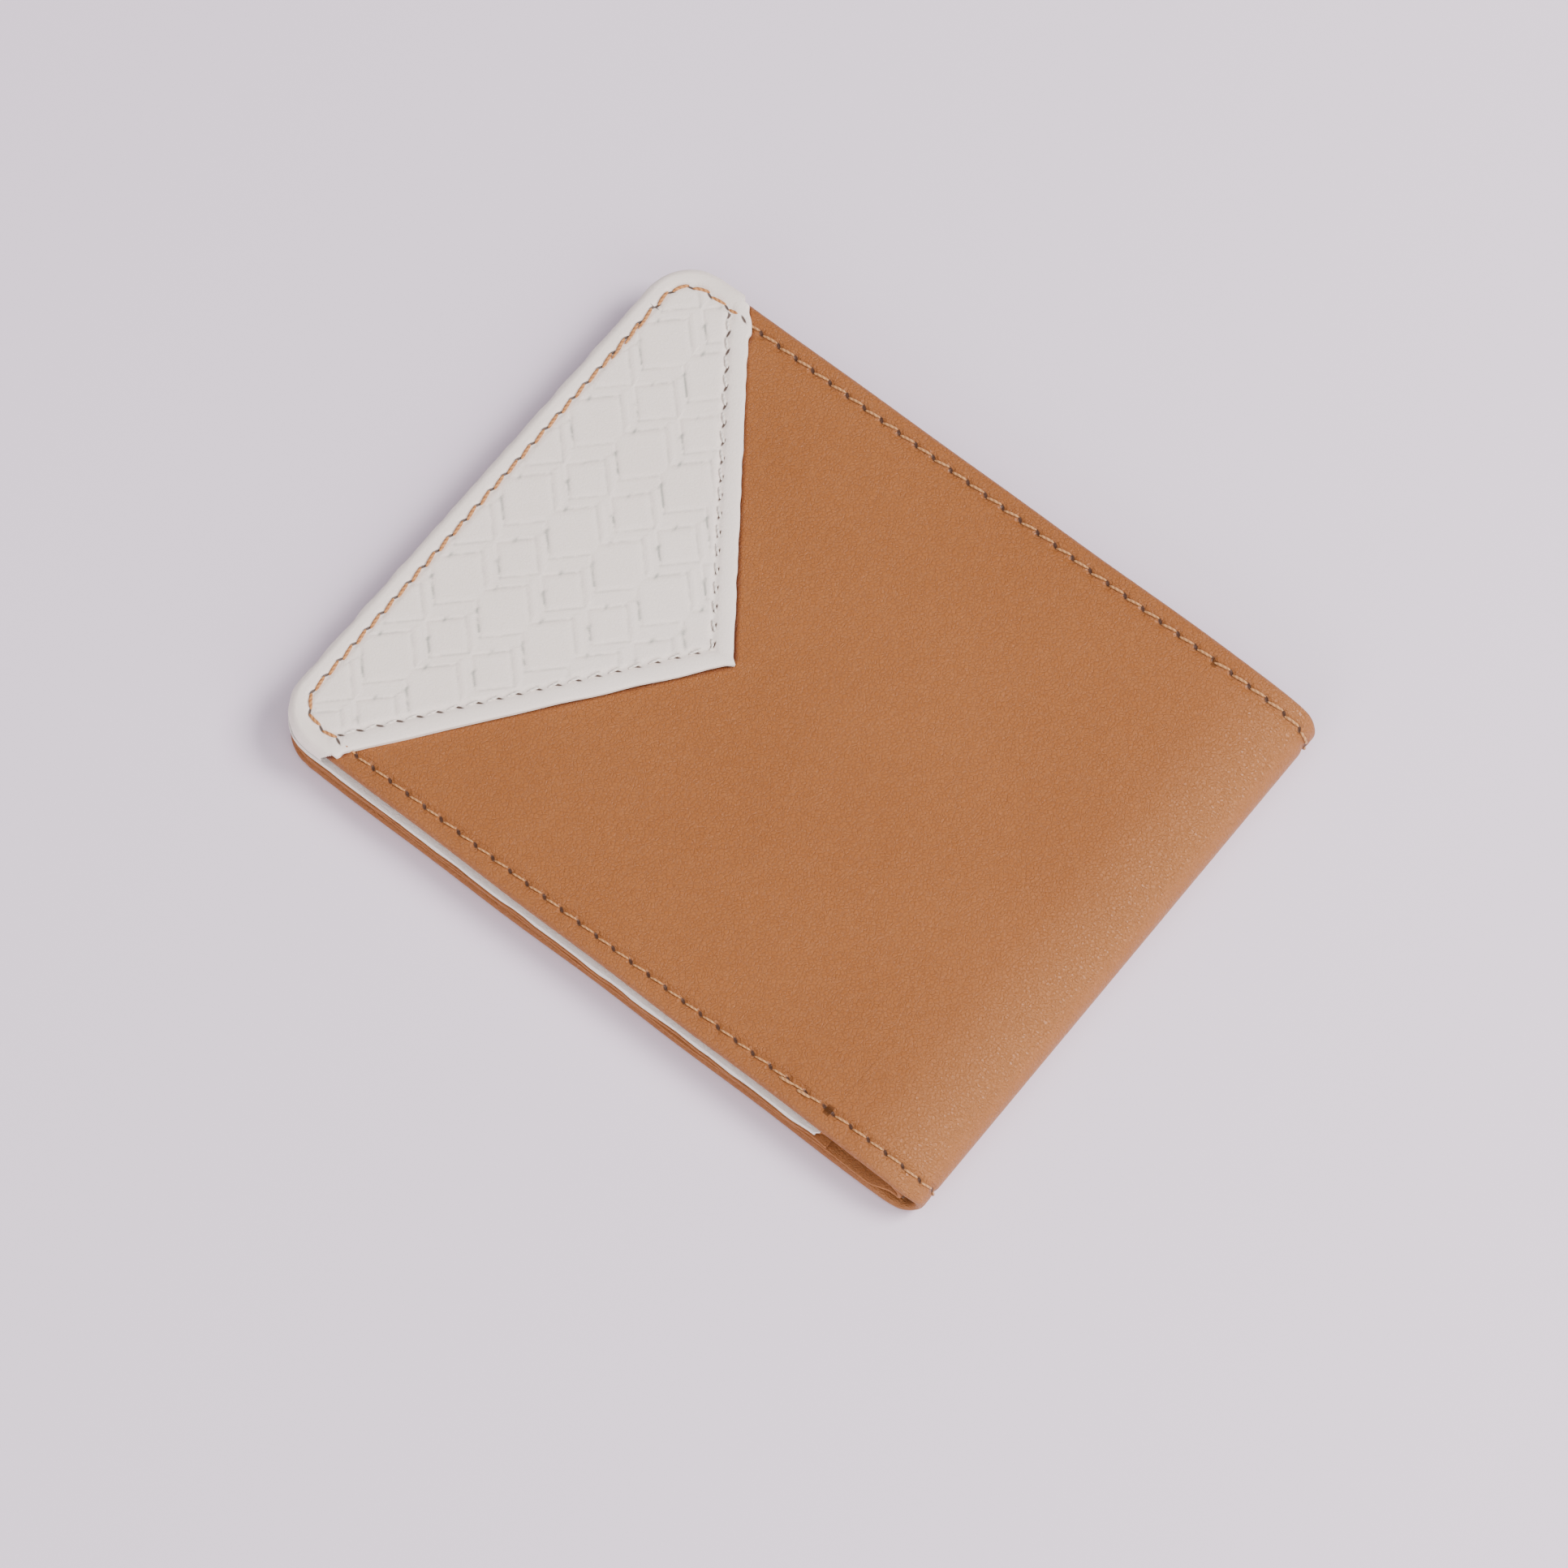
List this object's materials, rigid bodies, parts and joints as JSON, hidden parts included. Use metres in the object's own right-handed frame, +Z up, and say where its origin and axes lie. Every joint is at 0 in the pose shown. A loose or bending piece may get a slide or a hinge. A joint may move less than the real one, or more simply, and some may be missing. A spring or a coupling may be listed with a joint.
{
  "type": "bifold wallet",
  "caption": "Leather bifold wallet, folded shut, with a contrasting woven-pattern corner patch, stitched turned edges and card pockets inside.",
  "frame": {"origin": "under the middle of the closed wallet, on the plane that the back cover lies on", "axes": "+X from the free edge to the fold, +Y from the bottom edge to the mouth of the bill compartment, +Z up through the closed wallet"},
  "size_m": [0.11, 0.0884, 0.008],
  "materials": {
    "tan_leather": "smooth grained, satin",
    "white_leather": "woven pattern pressed in, satin",
    "tan_inner_leather": "smooth, satin",
    "white_inner_leather": "smooth, satin",
    "lining_cloth": "fine plain weave",
    "stiffener_board": "bonded fibre board",
    "tan_thread": "twisted polyester thread",
    "white_thread": "twisted polyester thread"
  },
  "bodies": {
    "back_half": {"back_cover": "tan_leather", "back_stiffener": "stiffener_board", "back_lining": "lining_cloth", "back_liner": "tan_inner_leather", "back_card_pocket_upper": "tan_inner_leather", "back_card_pocket_middle": "tan_inner_leather", "back_card_pocket_lower": "tan_inner_leather", "back_closing_seam": "tan_thread", "back_mouth_seam": "tan_thread", "back_pocket_seams": "tan_thread"},
    "fold": {"fold_cover": "tan_leather", "fold_liner": "tan_inner_leather", "fold_seam": "tan_thread"},
    "fold_taper": {"taper_cover": "tan_leather", "taper_liner": "tan_inner_leather", "taper_lining": "lining_cloth", "taper_seam": "tan_thread"},
    "front_half": {"front_cover": "tan_leather", "corner_patch": "white_leather", "patch_seam": "white_thread", "front_stiffener": "stiffener_board", "front_lining": "lining_cloth", "front_liner": "white_inner_leather", "front_card_pocket_upper": "white_inner_leather", "front_card_pocket_middle": "white_inner_leather", "front_card_pocket_lower": "white_inner_leather", "front_closing_seam": "tan_thread", "front_mouth_seam": "tan_thread", "front_pocket_seams": "tan_thread"}
  },
  "joints": [
    {"name": "fold_open", "type": "hinge", "parent": "back_half", "child": "fold", "pos_m": [0.05429, 0, 0.00058], "axis": [0, 1, 0], "range_deg": [0, 86.75]},
    {"name": "taper_turn", "type": "hinge", "parent": "fold", "child": "fold_taper", "pos_m": [0.05454, 0, 0.00501], "axis": [0, 1, 0], "range_deg": [0, 86.75]},
    {"name": "front_turn", "type": "hinge", "parent": "fold", "child": "front_half", "pos_m": [0.05377, 0, 0.00599], "axis": [0, 1, 0], "range_deg": [0, 93.25]}
  ],
  "couplings": [
    {"joint": "taper_turn", "follows": "fold_open", "ratio": 1},
    {"joint": "front_turn", "follows": "fold_open", "ratio": 1.0749}
  ]
}
